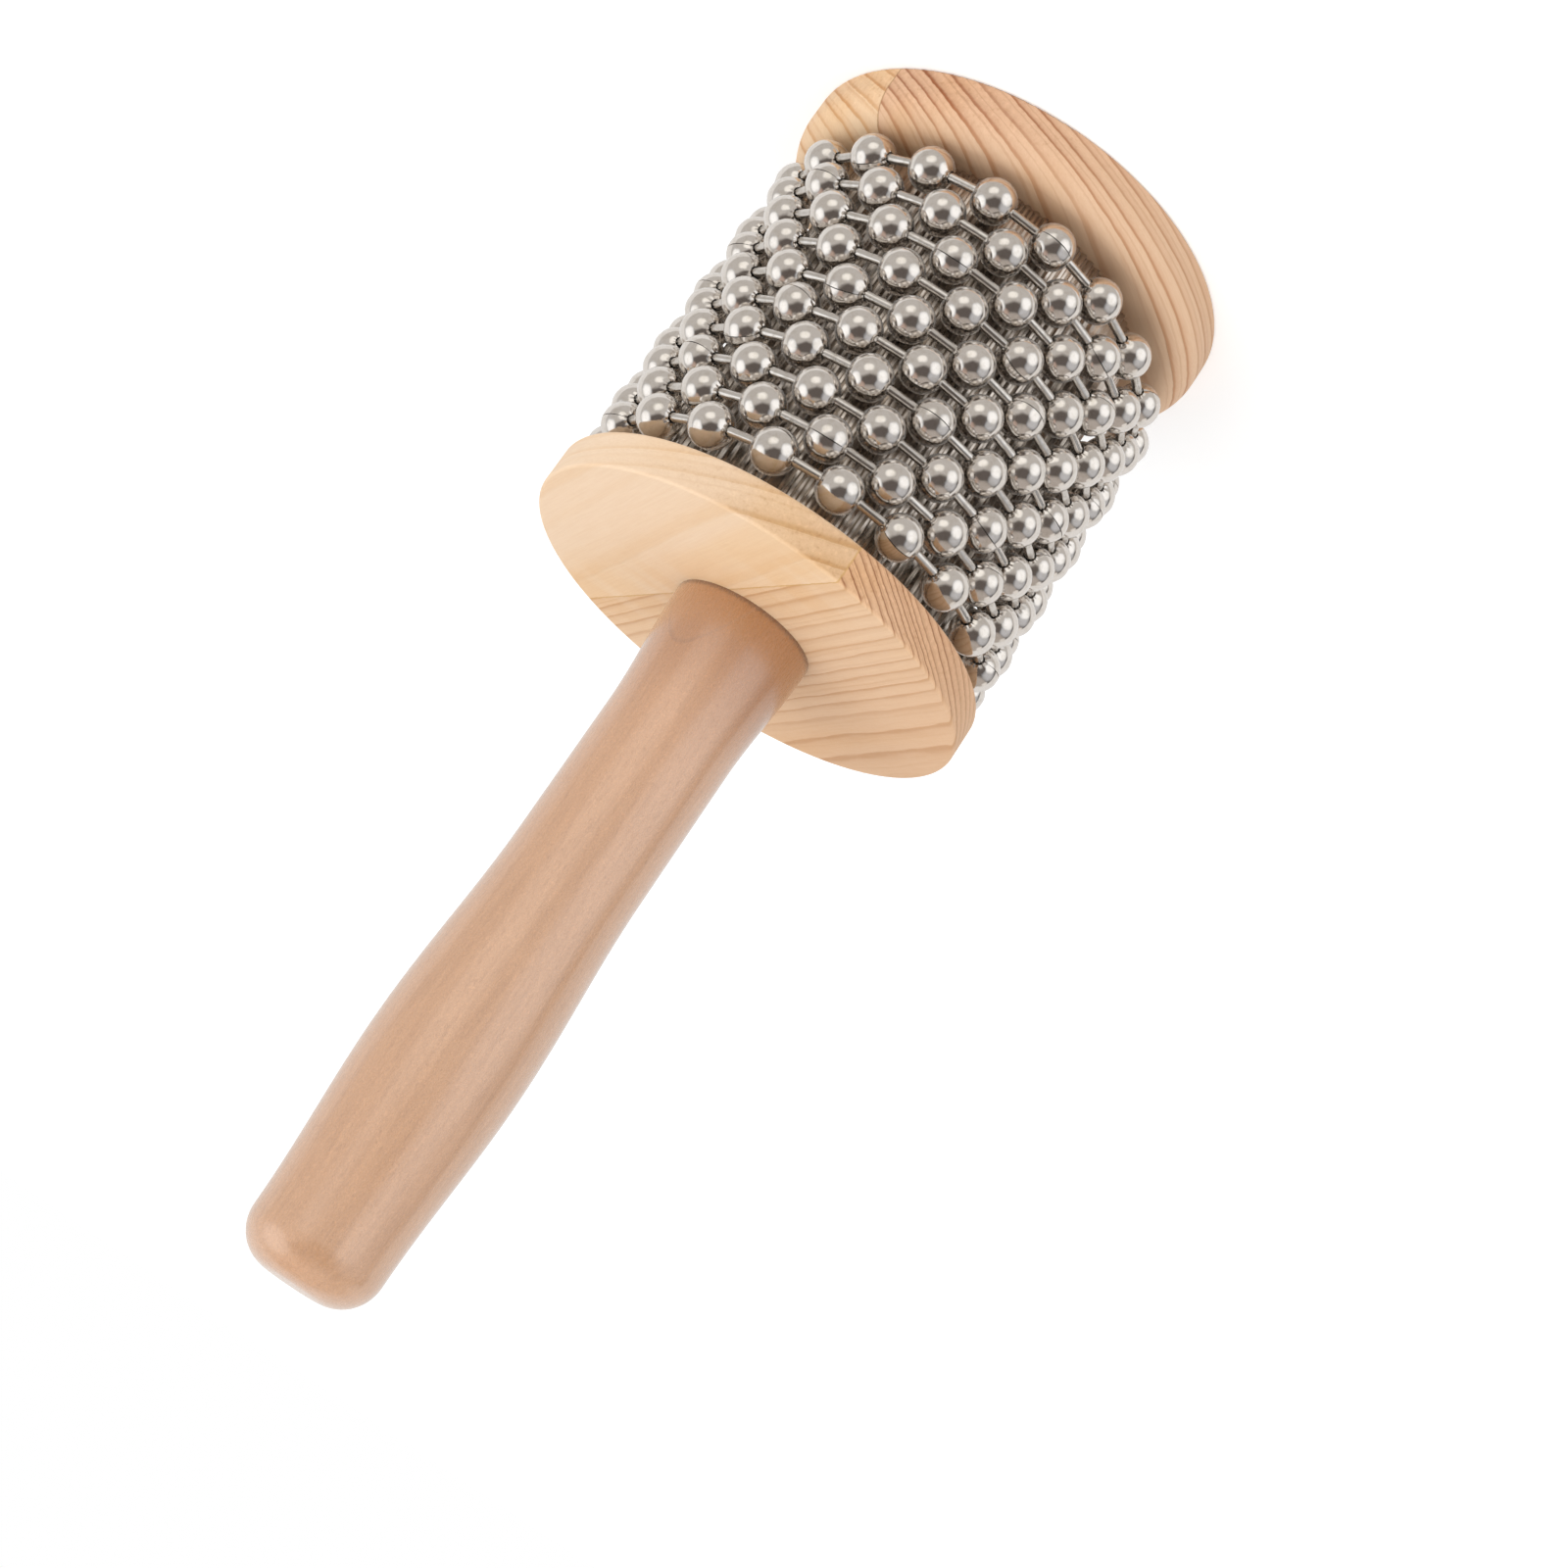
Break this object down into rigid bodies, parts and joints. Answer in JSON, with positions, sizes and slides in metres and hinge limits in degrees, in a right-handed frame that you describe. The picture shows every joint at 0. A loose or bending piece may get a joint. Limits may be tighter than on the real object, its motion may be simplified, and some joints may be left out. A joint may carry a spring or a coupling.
{
  "type": "cabasa",
  "caption": "Hand percussion shaker: turned handle, two wooden discs, ribbed steel drum and loose loops of steel ball chain that turn round it.",
  "frame": {"origin": "centre of the far disc's flat outer face, on which the instrument stands", "axes": "+Z along the drum's axis towards the handle's end, -Y towards the side on which the loops lie against the sleeve"},
  "size_m": [0.07, 0.0718, 0.1861],
  "materials": {
    "handle_wood": "sanded hardwood, satin",
    "disc_wood": "sanded pine, thin clear coat",
    "core_wood": "turned pine, bare",
    "sleeve_steel": "ribbed sheet steel",
    "fixing_steel": "zinc plated steel",
    "ball_steel": "nickel plated steel, polished",
    "link_steel": "nickel plated steel wire"
  },
  "bodies": {
    "frame": {"handle": "handle_wood", "handle_disc": "disc_wood", "end_disc": "disc_wood", "drum_core": "core_wood", "ribbed_sleeve": "sleeve_steel", "sleeve_tacks": "fixing_steel", "end_screws": "fixing_steel"},
    "loop_01": {"chain_01_balls": "ball_steel", "chain_01_links": "link_steel"},
    "loop_02": {"chain_02_balls": "ball_steel", "chain_02_links": "link_steel"},
    "loop_03": {"chain_03_balls": "ball_steel", "chain_03_links": "link_steel"},
    "loop_04": {"chain_04_balls": "ball_steel", "chain_04_links": "link_steel"},
    "loop_05": {"chain_05_balls": "ball_steel", "chain_05_links": "link_steel"},
    "loop_06": {"chain_06_balls": "ball_steel", "chain_06_links": "link_steel"},
    "loop_07": {"chain_07_balls": "ball_steel", "chain_07_links": "link_steel"},
    "loop_08": {"chain_08_balls": "ball_steel", "chain_08_links": "link_steel"},
    "loop_09": {"chain_09_balls": "ball_steel", "chain_09_links": "link_steel"},
    "loop_10": {"chain_10_balls": "ball_steel", "chain_10_links": "link_steel"}
  },
  "joints": [
    {"name": "loop_01_spin", "type": "hinge", "parent": "frame", "child": "loop_01", "pos_m": [-0.00032, 0.00202, 0.06294], "axis": [0, 0, 1], "continuous": true},
    {"name": "loop_02_spin", "type": "hinge", "parent": "frame", "child": "loop_02", "pos_m": [-0.00032, 0.00202, 0.05779], "axis": [0.0069, -0.0056, 1], "continuous": true},
    {"name": "loop_03_spin", "type": "hinge", "parent": "frame", "child": "loop_03", "pos_m": [-0.00032, 0.00202, 0.05253], "axis": [0.0139, -0.0112, 0.9998], "continuous": true},
    {"name": "loop_04_spin", "type": "hinge", "parent": "frame", "child": "loop_04", "pos_m": [-0.00032, 0.00202, 0.04717], "axis": [0.0208, -0.0168, 0.9996], "continuous": true},
    {"name": "loop_05_spin", "type": "hinge", "parent": "frame", "child": "loop_05", "pos_m": [-0.00032, 0.00202, 0.04191], "axis": [0.0277, -0.0225, 0.9994], "continuous": true},
    {"name": "loop_06_spin", "type": "hinge", "parent": "frame", "child": "loop_06", "pos_m": [-0.00032, 0.00202, 0.03681], "axis": [0.0347, -0.0281, 0.999], "continuous": true},
    {"name": "loop_07_spin", "type": "hinge", "parent": "frame", "child": "loop_07", "pos_m": [-0.00032, 0.00202, 0.03129], "axis": [0.0416, -0.0337, 0.9986], "continuous": true},
    {"name": "loop_08_spin", "type": "hinge", "parent": "frame", "child": "loop_08", "pos_m": [-0.00032, 0.00202, 0.02592], "axis": [0.0485, -0.0393, 0.9981], "continuous": true},
    {"name": "loop_09_spin", "type": "hinge", "parent": "frame", "child": "loop_09", "pos_m": [-0.00032, 0.00202, 0.02061], "axis": [0.0554, -0.0449, 0.9975], "continuous": true},
    {"name": "loop_10_spin", "type": "hinge", "parent": "frame", "child": "loop_10", "pos_m": [-0.00032, 0.00202, 0.01514], "axis": [0.0623, -0.0505, 0.9968], "continuous": true}
  ],
  "couplings": [
    {"joint": "loop_02_spin", "follows": "loop_01_spin", "ratio": 1},
    {"joint": "loop_03_spin", "follows": "loop_01_spin", "ratio": 1},
    {"joint": "loop_04_spin", "follows": "loop_01_spin", "ratio": 1},
    {"joint": "loop_05_spin", "follows": "loop_01_spin", "ratio": 1},
    {"joint": "loop_06_spin", "follows": "loop_01_spin", "ratio": 1},
    {"joint": "loop_07_spin", "follows": "loop_01_spin", "ratio": 1},
    {"joint": "loop_08_spin", "follows": "loop_01_spin", "ratio": 1},
    {"joint": "loop_09_spin", "follows": "loop_01_spin", "ratio": 1},
    {"joint": "loop_10_spin", "follows": "loop_01_spin", "ratio": 1}
  ]
}
